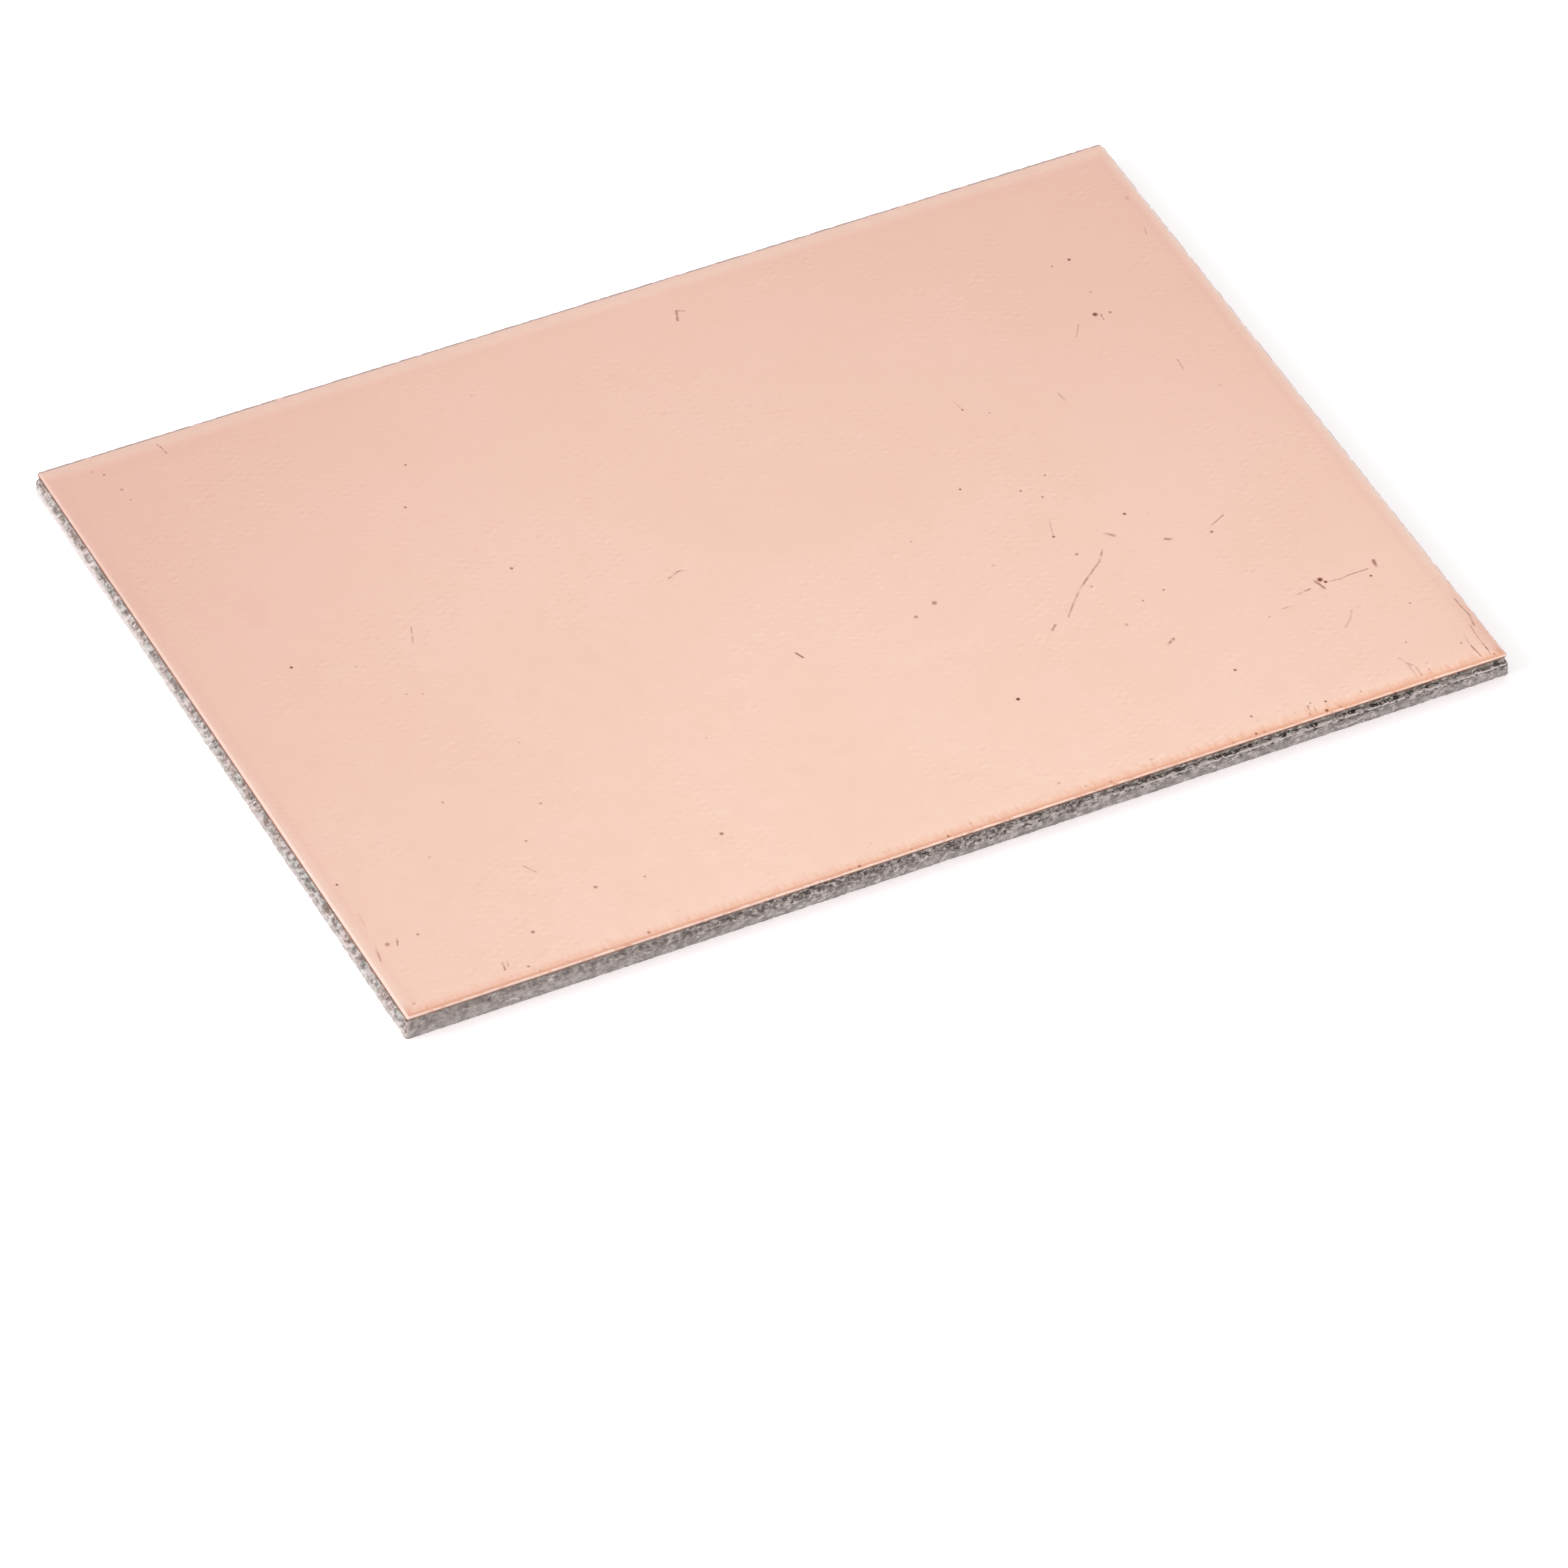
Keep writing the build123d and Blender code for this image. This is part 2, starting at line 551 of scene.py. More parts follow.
def rim_relief():
    """Relief of the foil's rim: rounded corners, and an edge dragged in unevenly."""
    tree, given, result, point, outward = relief_group("rim_relief")
    x, y, _ = split(tree, point)
    flat_point = stretched(tree, point, (1, 1, 0))

    # Corners are rounded by drawing what stands outside the rounded outline back to it.
    inset = Vector((CORNER_RADIUS, CORNER_RADIUS, 0))
    low = Vector((foil_low.x, foil_low.y, 0)) + inset
    high = Vector((foil_high.x, foil_high.y, 0)) - inset
    nearest = vector(tree, "MINIMUM", vector(tree, "MAXIMUM", flat_point, low), high)
    from_nearest = vector(tree, "SUBTRACT", flat_point, nearest)
    reach = node(tree, "ShaderNodeVectorMath", {0: from_nearest}, operation="LENGTH")
    excess = larger(tree, minus(tree, reach.outputs["Value"], CORNER_RADIUS), 0)
    towards = vector(tree, "NORMALIZE", from_nearest)
    round_off = vector_scale(tree, towards, times(tree, excess, -1))

    at_rim = fade(tree, inboard_distance(tree, foil_sides(tree, x, y)), 0.4, 0.0)
    uneven = cloud(tree, flat_point, 1.7, detail=4, roughness=0.7)
    nick = fade(tree, cloud(tree, flat_point, 2.6), 0.56, 0.66)
    drag = times(tree, fade(tree, uneven, 0.35, 0.75), DRAG_DEPTH)
    drag = times_plus(tree, nick, NICK_DEPTH, drag)
    drawn_in = vector_scale(tree, outward, times(tree, times(tree, drag, at_rim), -1))
    tree.links.new(move_points(tree, given, round_off, drawn_in), result[0])
    return tree


def move_points(tree, given, one_way, another_way):
    """The given geometry with its points moved by two vectors together."""
    return node(
        tree,
        "GeometryNodeSetPosition",
        {"Geometry": given[0], "Offset": vector(tree, "ADD", one_way, another_way)},
    ).outputs[0]


def foil_sides(tree, x, y):
    """How far in from each of the foil's four sides a point lies."""
    return {
        "left": minus(tree, x, foil_low.x),
        "right": minus(tree, foil_high.x, x),
        "front": minus(tree, y, foil_low.y),
        "back": minus(tree, foil_high.y, y),
    }


def inboard_distance(tree, sides):
    """How far in from the foil's rim a point lies, whichever side is nearest."""
    nearest, *others = sides.values()
    for other in others:
        nearest = maths(tree, "MINIMUM", nearest, other)
    return nearest


def new_material(name):
    """An empty material, its place on the board in millimetres, and its Principled shader."""
    material = bpy.data.materials.new(name)
    material.use_nodes = True
    tree = material.node_tree
    shader = tree.nodes["Principled BSDF"]
    place = node(tree, "ShaderNodeTexCoord").outputs["Object"]
    point = stretched(tree, place, (1 / MM, 1 / MM, 1 / MM))
    return material, tree, shader, point


def blend(tree, amount, below, above):
    """One colour over another, by an amount from 0 to 1."""
    made = node(tree, "ShaderNodeMix", {"Factor": amount}, data_type="RGBA", blend_type="MIX")
    for socket, value in (("A_Color", below), ("B_Color", above)):
        target = next(s for s in made.inputs if s.identifier == socket)
        if isinstance(value, bpy.types.NodeSocket):
            tree.links.new(value, target)
        else:
            target.default_value = (*value, 1)
    return next(s for s in made.outputs if s.identifier == "Result_Color")


def glass_weave_group():
    """The weave of the glass cloth, as it shows through what is pressed on it: a height."""
    tree, given, result = new_group(
        "glass_weave",
        "ShaderNodeTree",
        {
            "Point": ("NodeSocketVector", None),
            "Warp Pitch": ("NodeSocketFloat", 0.8),
            "Weft Pitch": ("NodeSocketFloat", 0.55),
            "Wobble": ("NodeSocketFloat", 0.2),
        },
        {"Height": ("NodeSocketFloat", None)},
    )
    sway = node(tree, "ShaderNodeTexNoise", {"Vector": given["Point"], "Scale": 0.7, "Detail": 1})
    swayed = vector(tree, "SUBTRACT", sway.outputs["Color"], (0.5, 0.5, 0.5))
    swayed = vector_scale(tree, swayed, given["Wobble"])
    x, y, _ = split(tree, vector(tree, "ADD", given["Point"], swayed))
    turns = times(tree, maths(tree, "DIVIDE", x, given["Warp Pitch"]), math.pi)
    over = maths(tree, "SINE", turns)
    turns = times(tree, maths(tree, "DIVIDE", y, given["Weft Pitch"]), math.pi)
    across = maths(tree, "SINE", turns)
    dash = minus(tree, fade(tree, times(tree, over, across), -0.7, 0.7), 0.5)
    uneven = cloud(tree, given["Point"], 1.1, detail=1, roughness=0.6)
    dash = times(tree, dash, fade(tree, uneven, 0.4, 0.68))
    tree.links.new(maths(tree, "ADD", dash, 0.5), result["Height"])
    return tree


def speckle_group():
    """Small dark specks scattered over a surface."""
    tree, given, result = new_group(
        "speckle",
        "ShaderNodeTree",
        {
            "Point": ("NodeSocketVector", None),
            "Spacing": ("NodeSocketFloat", 1.5),
            "Size": ("NodeSocketFloat", 0.06),
            "Share": ("NodeSocketFloat", 0.4),
        },
        {"Mask": ("NodeSocketFloat", None)},
    )
    cells = node(
        tree,
        "ShaderNodeTexVoronoi",
        {
            "Vector": stretched(tree, given["Point"], (1, 1, 0)),
            "Scale": maths(tree, "DIVIDE", 1, given["Spacing"]),
        },
    )
    away = times(tree, cells.outputs["Distance"], given["Spacing"])
    chance = split(tree, cells.outputs["Color"])
    size = times(tree, given["Size"], maths(tree, "ADD", chance["Y"], 0.4))
    shown = maths(tree, "LESS_THAN", chance["X"], given["Share"])
    dot = fade(tree, away, size, times(tree, size, 0.4))
    faint = times_plus(tree, chance["Z"], 0.7, 0.3)
    mask = times(tree, times(tree, dot, shown), faint)
    tree.links.new(mask, result["Mask"])
    return tree


def spot(tree, flat_point, middle, width):
    """A round mark, as a mask."""
    return fade(tree, distance(tree, flat_point, middle), width, width * 0.3)


def stroke(tree, flat_point, start, end, width):
    """A short straight mark between two points, as a mask."""
    run = end - start
    from_start = vector(tree, "SUBTRACT", flat_point, start)
    share = node(
        tree,
        "ShaderNodeVectorMath",
        {0: from_start, 1: run / run.length_squared},
        operation="DOT_PRODUCT",
    ).outputs["Value"]
    share = larger(tree, maths(tree, "MINIMUM", share, 1), 0)
    foot = vector_scale(tree, run, share)
    return fade(tree, distance(tree, from_start, foot), width, width * 0.2)


# Marks on the copper, as places on the board in millimetres: a line through its points, its
# half width and how dark it is. One point alone is a spot.
MARKS = (
    # A long curved scratch, with a short gouge at its foot.
    (((18.2, -7.1), (17.6, -7.9), (16.5, -8.7), (15.5, -9.5), (14.6, -10.4), (13.8, -11.3)), 0.1, 0.5),
    (((12.8, -11.6), (12.45, -11.9)), 0.13, 0.6),
    # Strokes and spots round it.
    (((25.9, -7.4), (24.9, -7.9)), 0.07, 0.59),
    (((21.9, -7.8), (22.25, -7.95)), 0.14, 0.8),
    (((20.8, -4.9),), 0.15, 0.81),
    (((19.0, -5.9), (19.4, -6.3)), 0.16, 0.42),
    (((16.6, -3.6), (16.2, -4.9)), 0.06, 0.34),
    (((16.2, -4.9),), 0.14, 0.71),
    (((16.7, -6.8),), 0.14, 0.6),
    (((16.2, -9.6),), 0.1, 0.5),
    (((19.8, -11.6),), 0.11, 0.6),
    (((18.3, -11.9),), 0.11, 0.5),
    (((16.5, -13.3),), 0.16, 0.33),
    (((17.9, -15.8), (18.35, -15.5)), 0.15, 0.7),
    # A dark blot, with a branch below it and a hair that runs off to a second blot.
    (((28.3, -14.65),), 0.24, 0.95),
    (((28.5, -14.95),), 0.16, 0.9),
    (((27.95, -14.6), (28.2, -15.4)), 0.14, 0.65),
    (((28.7, -15.0), (29.4, -15.1), (30.0, -15.0), (31.2, -15.0)), 0.08, 0.45),
    (((31.85, -14.5), (31.75, -15.0)), 0.17, 0.65),
    (((31.1, -15.6),), 0.13, 0.75),
    # A faint row and a smear in front of it.
    (((25.2, -15.9), (25.8, -15.9)), 0.1, 0.5),
    (((26.6, -15.2), (27.4, -15.1)), 0.1, 0.5),
    (((24.2, -16.2),), 0.11, 0.33),
    (((28.7, -17.7), (28.3, -18.3), (27.7, -18.8)), 0.09, 0.26),
    (((32.0, -18.6),), 0.11, 0.47),
    (((30.2, -21.4),), 0.11, 0.4),
    (((33.0, -22.8),), 0.1, 0.57),
    # Towards the back.
    (((27.4, 11.3),), 0.23, 0.9),
    (((27.7, 11.15), (27.65, 10.7)), 0.08, 0.59),
    (((28.3, 11.1),), 0.14, 0.55),
    (((26.1, 10.9), (25.5, 10.0)), 0.08, 0.3),
    (((28.3, 16.3),), 0.14, 0.95),
    (((27.1, 16.2),), 0.1, 0.57),
    (((28.1, 13.2),), 0.09, 0.57),
    (((16.4, 7.9), (16.5, 7.1)), 0.05, 0.3),
    (((16.5, 7.1),), 0.11, 0.71),
    (((17.8, 6.2),), 0.09, 0.47),
    (((22.2, 6.1), (22.3, 5.3)), 0.09, 0.34),
    (((29.9, 5.7), (29.8, 4.8)), 0.09, 0.5),
    (((13.2, 1.0),), 0.12, 0.76),
    (((16.3, -0.6),), 0.12, 0.6),
    (((18.2, 0.0),), 0.1, 0.6),
    (((17.2, -1.6),), 0.11, 0.62),
    (((8.6, -1.8),), 0.09, 0.38),
    (((33.7, 17.1), (33.5, 16.4)), 0.06, 0.34),
    (((34.0, 19.8),), 0.23, 0.19),
    (((5.3, 22.0), (5.0, 21.2)), 0.13, 0.6),
    (((5.3, 22.0), (5.7, 21.8)), 0.11, 0.5),
    (((-27.4, 24.2), (-27.3, 23.9), (-27.2, 23.3)), 0.08, 0.6),
    # Scattered spots.
    (((8.0, -16.2),), 0.17, 1.0),
    (((19.3, -23.1),), 0.12, 0.66),
    (((20.3, -19.3),), 0.13, 0.85),
    (((23.7, -23.8),), 0.12, 0.75),
    (((25.9, -23.9),), 0.09, 0.47),
    (((-28.4, 3.7),), 0.13, 0.95),
    (((-13.3, 5.9),), 0.15, 0.6),
    (((-15.0, 16.5),), 0.1, 0.8),
    (((-16.6, 13.2),), 0.11, 0.75),
    (((-31.3, 23.1),), 0.11, 0.57),
    (((-31.8, 23.6),), 0.09, 0.38),
    (((-30.9, 21.5),), 0.16, 0.33),
    (((-30.8, 20.5),), 0.09, 0.47),
    (((5.9, -7.6),), 0.18, 0.48),
    (((7.4, -7.0),), 0.23, 0.5),
    (((-1.7, -7.4), (-1.5, -7.9)), 0.1, 0.7),
    (((-5.5, 1.3), (-4.8, 1.6), (-4.4, 1.6)), 0.08, 0.6),
    (((-23.5, -16.6), (-23.1, -17.3)), 0.08, 0.38),
    (((-25.4, -10.0),), 0.12, 0.4),
    (((-20.4, -12.4),), 0.12, 0.45),
    (((-22.5, -14.8),), 0.12, 0.45),
    (((-28.0, -13.7),), 0.11, 0.25),
    (((-33.7, -13.5),), 0.11, 0.85),
    (((-19.3, -7.4),), 0.09, 0.3),
    (((-23.4, -1.1),), 0.09, 0.4),
    (((-25.0, 2.2),), 0.1, 0.3),
    (((-20.7, 3.9), (-21.2, 2.6)), 0.09, 0.3),
    # By the front left corner.
    (((-33.2, -19.0),), 0.21, 0.45),
    (((-33.9, -19.0), (-34.1, -20.0)), 0.1, 0.42),
    (((-32.5, -18.8), (-32.7, -19.3)), 0.09, 0.55),
    (((-33.6, -16.1), (-33.7, -17.1)), 0.07, 0.15),
    (((-31.3, -19.0),), 0.12, 0.57),
    (((-28.0, -23.0), (-28.1, -23.6)), 0.1, 0.51),
    (((-27.7, -23.0), (-27.8, -23.4)), 0.07, 0.38),
    (((-26.8, -23.9),), 0.13, 0.5),
    (((-20.6, -19.8),), 0.17, 0.5),
    (((-17.7, -20.2),), 0.09, 0.57),
    (((-19.5, -24.3),), 0.15, 0.5),
    # By the front rim.
    (((22.6, -23.7), (22.4, -24.4)), 0.08, 0.45),
    (((22.9, -23.9), (22.8, -24.4)), 0.07, 0.3),
    # Scratches by the right corner, made when the board was cut.
    (((33.5, -22.2), (33.4, -23.2)), 0.06, 0.3),
    (((33.4, -23.2), (33.5, -24.2)), 0.08, 0.59),
    (((34.2, -21.7), (34.1, -22.6), (34.1, -23.4)), 0.07, 0.38),
    (((34.1, -23.4), (34.1, -24.3)), 0.08, 0.64),
    (((34.5, -19.3), (34.5, -20.0), (34.6, -20.9), (34.4, -21.8)), 0.09, 0.5),
    (((29.2, -22.4), (29.4, -22.9), (29.7, -23.4), (29.7, -24.2)), 0.08, 0.35),
    (((29.4, -22.9), (29.4, -24.2)), 0.07, 0.3),
)


# Single pale wisps of glass on the front cut: lines through places along the board and up it,
# and their half width.
WISPS = (
    (((-28.85, 0.40), (-28.5, 0.43), (-28.2, 0.38), (-28.0, 0.25)), 0.06),
    (((-28.6, 0.50), (-28.35, 0.52)), 0.05),
    (((23.6, 0.38), (24.0, 0.28), (24.6, 0.25), (25.1, 0.34)), 0.05),
    (((16.9, 0.62), (17.0, 0.42)), 0.05),
)


def placed(tree, group, inputs):
    """A shader node group placed in a material with its own values."""
    return node(tree, "ShaderNodeGroup", inputs, node_tree=group).outputs[0]


# How far the camera shows the places of the marks' table too far right and too far back, and
# how much further right in the middle of the board.
MARK_SHIFT = (0.1, 0.09)
MARK_BOW = 0.22


def mark_place(x, y):
    """Where a mark lies on the board. The table's places come from the board's four corners
    in the photograph, which the camera doesn't quite meet, and this takes up the difference."""
    bow = 1 - (x / core_high.x) ** 2
    return Vector((x - MARK_SHIFT[0] - MARK_BOW * bow, y - MARK_SHIFT[1], 0))


def hand_marks(tree, point):
    """All the marks as one mask, each at its own strength. The lines are broken up."""
    flat_point = stretched(tree, point, (1, 1, 0))
    broken = fade(tree, cloud(tree, flat_point, 1.8, detail=3, roughness=0.7), 0.28, 0.62)
    lines = spots = 0.0
    for corners, width, strength in MARKS:
        points = [mark_place(x, y) for x, y in corners]
        if len(points) == 1:
            mask = times(tree, spot(tree, flat_point, points[0], width), strength)
            spots = larger(tree, spots, mask)
        for start, end in zip(points, points[1:]):
            mask = times(tree, stroke(tree, flat_point, start, end, width), strength)
            lines = larger(tree, lines, mask)
    return larger(tree, spots, times(tree, lines, broken))


# The copper: the sheet's two shades, the weave's painted sheen, painted light and shade along its
# border and rim, the rim's own colours, and its marks.
COPPER = ((0.865, 0.525, 0.41), (0.89, 0.548, 0.443))
# Paler copper for the weave's dashes, a painted sheen, and for a random grain of the sheet's tone.
WEAVE_SHEEN_AND_GRAIN = (1.0, 0.75, 0.64)
ROSY_PATCH = (0.92, 0.52, 0.45)
# Painted reflection: paler copper along the back, right and left rims.
PAINTED_BORDER_REFLECTION = (1.0, 0.755, 0.635)
# Painted shade: the orange band along the front rim, for the roll's darker reflection.
PAINTED_ROLL_SHADE = (0.80, 0.395, 0.275)
# Painted shade: a narrower, deeper line within that band.
STEEPEST_ROLL_SHADE = (0.74, 0.33, 0.22)
# Painted highlights along the rim, all round and on the right side.
PAINTED_RIM_HIGHLIGHT = (1.0, 0.80, 0.70)
PAINTED_RIGHT_RIM_HIGHLIGHT = (0.98, 0.84, 0.76)
# A thin dark line along the back rim.
BACK_RIM_LINE = (0.42, 0.36, 0.35)
# The foil's cut side: its own duller copper, darkened with painted shade.
FOIL_SIDE = (0.42, 0.19, 0.12)
MARK = (0.24, 0.068, 0.036)

# Where the rosy patch lies.
ROSY_PLACE = (-29.7, 9.3, 0)


def copper_tone_and_sheen(tree, flat_point, weave):
    """The sheet's own colour, a little uneven, with paler dashes where the weave prints through: a
    painted sheen of the weave's relief, over a random grain of the sheet's own tone.
    """
    tarnish = cloud(tree, flat_point, 0.06, detail=4, roughness=0.65)
    colour = blend(tree, fade(tree, tarnish, 0.3, 0.7), *COPPER)
    grain = cloud(tree, flat_point, 0.8, detail=3, roughness=0.7)
    sheen_and_grain_share = times_plus(tree, grain, 0.3, times(tree, weave, 0.7))
    # Painted sheen: the weave's dashes are painted paler, together with a random grain.
    colour = blend(tree, times(tree, sheen_and_grain_share, 0.34), colour, WEAVE_SHEEN_AND_GRAIN)
    rosy = fade(tree, cloud(tree, flat_point, 0.45), 0.35, 0.65)
    rosy = times(tree, rosy, fade(tree, distance(tree, flat_point, ROSY_PLACE), 3.2, 1.2))
    return blend(tree, times(tree, rosy, 0.35), colour, ROSY_PATCH)


def painted_border_light(tree, colour, flat_point, x, sides, sway, fringe, left_share):
    """The copper's border, where the foil rolls down. A ragged orange band of painted shade lies along
    the front and the front of the right side, with a narrower line of it just in from the front rim.
    The back, right and left sides get a paler painted reflection at the rim."""
    streak = cloud(tree, stretched(tree, flat_point, (4.5, 1.2, 1)), 1.0, detail=1, roughness=0.6)
    ragged = times_plus(tree, minus(tree, fringe, 0.5), 0.7, sides["front"])
    ragged = times_plus(tree, minus(tree, streak, 0.5), 0.9, ragged)
    # Painted shade: a ragged orange band along the front rim, and along the right rim near the front.
    roll_shade = fade(tree, ragged, 1.05, 0.15)
    roll_shade = times(tree, roll_shade, times_plus(tree, fade(tree, x, -35, 22), 0.4, 0.5))
    wavering = times_plus(tree, minus(tree, sway, 0.5), 1.2, sides["right"])
    right_roll_shade = times(tree, fade(tree, wavering, 1.0, 0.3), fade(tree, sides["front"], 10, 2))
    roll_shade = larger(tree, roll_shade, times(tree, right_roll_shade, 0.38))

    # Painted reflection: the back, right and left rims are painted paler.
    back_reflection = times(tree, fade(tree, sides["back"], 1.5, 0.25), 0.85)
    right_reflection = times(tree, fade(tree, sides["right"], 0.95, 0.1), 0.85)
    left_reflection = times(tree, fade(tree, sides["left"], 0.9, 0.1), left_share)
    pale = larger(tree, larger(tree, back_reflection, right_reflection), left_reflection)
    pale = times(tree, pale, fade(tree, sides["front"], 0.4, 1.4))
    pale = times(tree, pale, times_plus(tree, sway, 0.6, 0.7))
    # The paler rims are painted reflection. The orange band laid over them is painted shade.
    colour = blend(tree, pale, colour, PAINTED_BORDER_REFLECTION)
    colour = blend(tree, roll_shade, colour, PAINTED_ROLL_SHADE)

    # Painted shade: a narrow darker line just in from the front rim, where the roll is steepest.
    steepest_roll_shade = maths(tree, "ABSOLUTE", minus(tree, sides["front"], 0.25))
    steepest_roll_shade = times(tree, fade(tree, steepest_roll_shade, 0.11, 0.04), times_plus(tree, fringe, 0.7, 0.2))
    return blend(tree, steepest_roll_shade, colour, STEEPEST_ROLL_SHADE)


def cut_rim(tree, colour, x, sides, sway, fringe, left_rim_highlight):
    """The rim itself, with a broken painted highlight along it, strongest on the left and on the
    right side away from the front. Its cut side is darker brown, its own duller copper with painted
    shade, and a thin dark line lies along the back rim."""
    inboard = inboard_distance(tree, sides)
    # Painted highlight: a broken bright line along the rim.
    rim_highlight = times_plus(tree, minus(tree, sway, 0.5), 0.16, inboard)
    rim_highlight = times(tree, fade(tree, rim_highlight, 0.18, 0.12), fade(tree, fringe, 0.28, 0.5))
    rim_highlight = times(tree, rim_highlight, times_plus(tree, fade(tree, x, 0, 16), -0.2, 0.85))
    colour = blend(tree, larger(tree, rim_highlight, left_rim_highlight), colour, PAINTED_RIM_HIGHLIGHT)
    # Painted highlight: the right rim, away from the front.
    right_rim_highlight = times(tree, fade(tree, sides["right"], 0.26, 0.16), fade(tree, sides["front"], 2, 10))
    right_rim_highlight = times(tree, right_rim_highlight, fade(tree, fringe, 0.3, 0.55))
    colour = blend(tree, times(tree, right_rim_highlight, 0.8), colour, PAINTED_RIGHT_RIM_HIGHLIGHT)
    # A thin, broken dark line along the back rim.
    back_rim_line = times(tree, fade(tree, sides["back"], 0.22, 0.14), fade(tree, sway, 0.3, 0.45))
    colour = blend(tree, times(tree, back_rim_line, 0.75), colour, BACK_RIM_LINE)
    # The foil's cut side is darker brown: its own duller copper, with painted shade.
    cut_side = fade(tree, inboard, 0.06, 0.02)
    cut_side = times(tree, cut_side, times_plus(tree, fade(tree, x, -20, 10), 0.4, 0.6))
    cut_side = larger(tree, cut_side, fade(tree, sides["left"], 0.075, 0.03))
    return blend(tree, cut_side, colour, FOIL_SIDE)


def dark_marks(tree, point, flat_point, x, sides):
    """Everything dark on the copper: the marks, scattered specks, and grit by the front."""
    specks = {"Point": point, "Spacing": 2.7, "Size": 0.125, "Share": 0.62}
    specks = placed(tree, groups["speckle"], specks)
    grit_point = vector(tree, "ADD", flat_point, (7.3, 4.1, 0))
    grit = {"Point": grit_point, "Spacing": 0.55, "Size": 0.115, "Share": 0.5}
    grit = placed(tree, groups["speckle"], grit)
    near_front = times_plus(tree, fade(tree, x, -30, 20), 0.6, 0.4)
    near_front = times(tree, fade(tree, sides["front"], 2.2, 0.5), near_front)
    dark = larger(tree, hand_marks(tree, point), times(tree, specks, 0.6))
    return larger(tree, dark, times(tree, grit, times(tree, near_front, 0.8)))


def copper_material():
    """Bright rolled copper, a little tarnished, with the glass weave printing through it, and painted
    light and shade along its border and rim.
    """
    material, tree, shader, point = new_material("copper_sheet")
    x, y, _ = split(tree, point)
    flat_point = stretched(tree, point, (1, 1, 0))
    sides = foil_sides(tree, x, y)
    weave = {"Point": flat_point, "Warp Pitch": 0.6, "Weft Pitch": 0.265, "Wobble": 0.8}
    weave = placed(tree, groups["glass_weave"], weave)
    patchy = fade(tree, cloud(tree, flat_point, 0.1, detail=1, roughness=0.6), 0.35, 0.65)
    weave = times(tree, minus(tree, weave, 0.5), times_plus(tree, patchy, 0.8, 0.2))
    weave = maths(tree, "ADD", weave, 0.5)

    sway = cloud(tree, flat_point, 0.9, detail=3, roughness=0.6)
    fringe = cloud(tree, stretched(tree, flat_point, (1.6, 0.5, 1)), 1.0, detail=3, roughness=0.65)
    left_share = times_plus(tree, fade(tree, y, 20, -20), 0.6, 0.4)
    # Painted highlight: a thin bright line along the left rim.
    left_rim_highlight = times(tree, fade(tree, sides["left"], 0.27, 0.17), left_share)
    dark = dark_marks(tree, point, flat_point, x, sides)
    colour = copper_tone_and_sheen(tree, flat_point, weave)
    colour = painted_border_light(tree, colour, flat_point, x, sides, sway, fringe, left_share)
    colour = cut_rim(tree, colour, x, sides, sway, fringe, left_rim_highlight)
    colour = blend(tree, dark, colour, MARK)
    tree.links.new(colour, shader.inputs["Base Color"])

    # The painted highlight along the left rim is also made less metallic, so that it takes light from
    # all round.
    tree.links.new(times_plus(tree, left_rim_highlight, -0.6, 1), shader.inputs["Metallic"])
    rough = times_plus(tree, sway, 0.08, 0.33)
    tree.links.new(times_plus(tree, dark, 0.3, rough), shader.inputs["Roughness"])
    add_bump(tree, shader, times(tree, weave, PRINTED_WEAVE))
    return material


def add_bump(tree, shader, height):
    """Bump from a height in millimetres."""
    bump = node(tree, "ShaderNodeBump", {"Height": height, "Distance": MM})
    tree.links.new(bump.outputs[0], shader.inputs["Normal"])


# The cut edge: pairs of shades from dark to pale, and what lies over them, painted shade and
# highlights among it.
CALM_CUT = ((0.25, 0.225, 0.21), (0.48, 0.45, 0.425))
HARSH_CUT = ((0.12, 0.105, 0.095), (0.60, 0.56, 0.53))
LAND = ((0.35, 0.333, 0.32), (0.56, 0.54, 0.522))
TORN = ((0.15, 0.135, 0.12), (0.40, 0.37, 0.33))
TORN_CORNER = (0.40, 0.37, 0.31)
# The pits' colours: painted shade in their hollows, over the darker torn glass.
SMALL_PIT_SHADE = (0.07, 0.06, 0.053)
LONG_PIT_SHADE = (0.03, 0.025, 0.022)
# Painted highlight along the ledge's shoulder.
LEDGE_HIGHLIGHT = (0.86, 0.83, 0.8)
FLECK = (0.78, 0.75, 0.72)
DARK_STRANDS = ((0.15, 0.137, 0.125), (0.19, 0.145, 0.126))
PALE_STRANDS = ((0.57, 0.585, 0.57), (0.61, 0.55, 0.542))
STRAND_FOOT = (0.70, 0.675, 0.66)
STRAND_HEAD = (0.22, 0.16, 0.13)
BARE_GLASS = (0.84, 0.81, 0.79)
# Painted shade under the rim: a thin brown line, and a darker band on the left side.
UNDER_RIM_SHADE = (0.22, 0.125, 0.085)
LEFT_UNDER_RIM_SHADE = (0.10, 0.068, 0.052)


